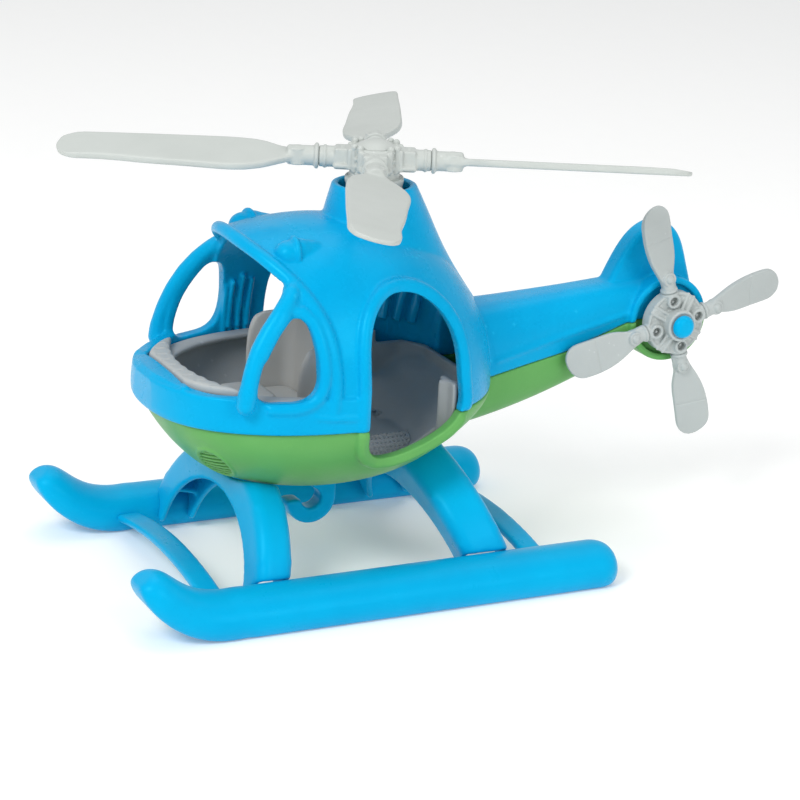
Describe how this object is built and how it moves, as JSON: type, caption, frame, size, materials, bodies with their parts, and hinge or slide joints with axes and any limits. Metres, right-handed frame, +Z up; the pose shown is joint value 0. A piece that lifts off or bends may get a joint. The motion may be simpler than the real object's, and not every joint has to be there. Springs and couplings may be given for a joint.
{
  "type": "toy helicopter",
  "caption": "Chunky moulded toy helicopter with an open bubble cabin and doorways, skid landing gear, a cargo hook, and free-spinning main and tail rotors.",
  "frame": {"origin": "on the ground plane under the middle of the bounding box; the main rotor axis stands at x = 0, y = -0.02827 m", "axes": "+Z up, -Y towards the nose, +X towards the helicopter's own left side, where the tail rotor is"},
  "size_m": [0.2012, 0.2678, 0.1524],
  "materials": {
    "blue_shell": "satin moulded, fine grain",
    "green_shell": "satin moulded, fine grain",
    "blue_gear": "satin moulded, fine grain",
    "interior_grey": "matte moulded",
    "seat_grey": "matte moulded",
    "panel_grey": "matte moulded",
    "main_rotor_grey": "matte moulded",
    "tail_rotor_grey": "matte moulded",
    "axle_blue": "gloss moulded"
  },
  "bodies": {
    "airframe": {"upper_shell": "blue_shell", "lower_shell": "green_shell", "cabin_tub": "interior_grey", "seat_back": "seat_grey", "seat_cushion": "seat_grey", "instrument_panel": "panel_grey", "left_skid": "blue_gear", "right_skid": "blue_gear", "front_leg_arch": "blue_gear", "rear_leg_arch": "blue_gear", "front_strap": "blue_gear", "rear_strap": "blue_gear", "cargo_hook": "blue_gear", "tail_axle": "axle_blue"},
    "main_rotor": {"main_rotor_hub": "main_rotor_grey", "main_rotor_cap": "main_rotor_grey", "main_rotor_blade_1": "main_rotor_grey", "main_rotor_blade_2": "main_rotor_grey", "main_rotor_blade_3": "main_rotor_grey", "main_rotor_blade_4": "main_rotor_grey"},
    "tail_rotor": {"tail_rotor_hub": "tail_rotor_grey", "tail_rotor_blade_1": "tail_rotor_grey", "tail_rotor_blade_2": "tail_rotor_grey", "tail_rotor_blade_3": "tail_rotor_grey", "tail_rotor_blade_4": "tail_rotor_grey"}
  },
  "joints": [
    {"name": "main_rotor_spin", "type": "hinge", "parent": "airframe", "child": "main_rotor", "pos_m": [0, -0.02827, 0.1456], "axis": [0, 0, 1], "continuous": true},
    {"name": "tail_rotor_spin", "type": "hinge", "parent": "airframe", "child": "tail_rotor", "pos_m": [0.0158, 0.08923, 0.081], "axis": [1, 0, 0], "continuous": true}
  ]
}
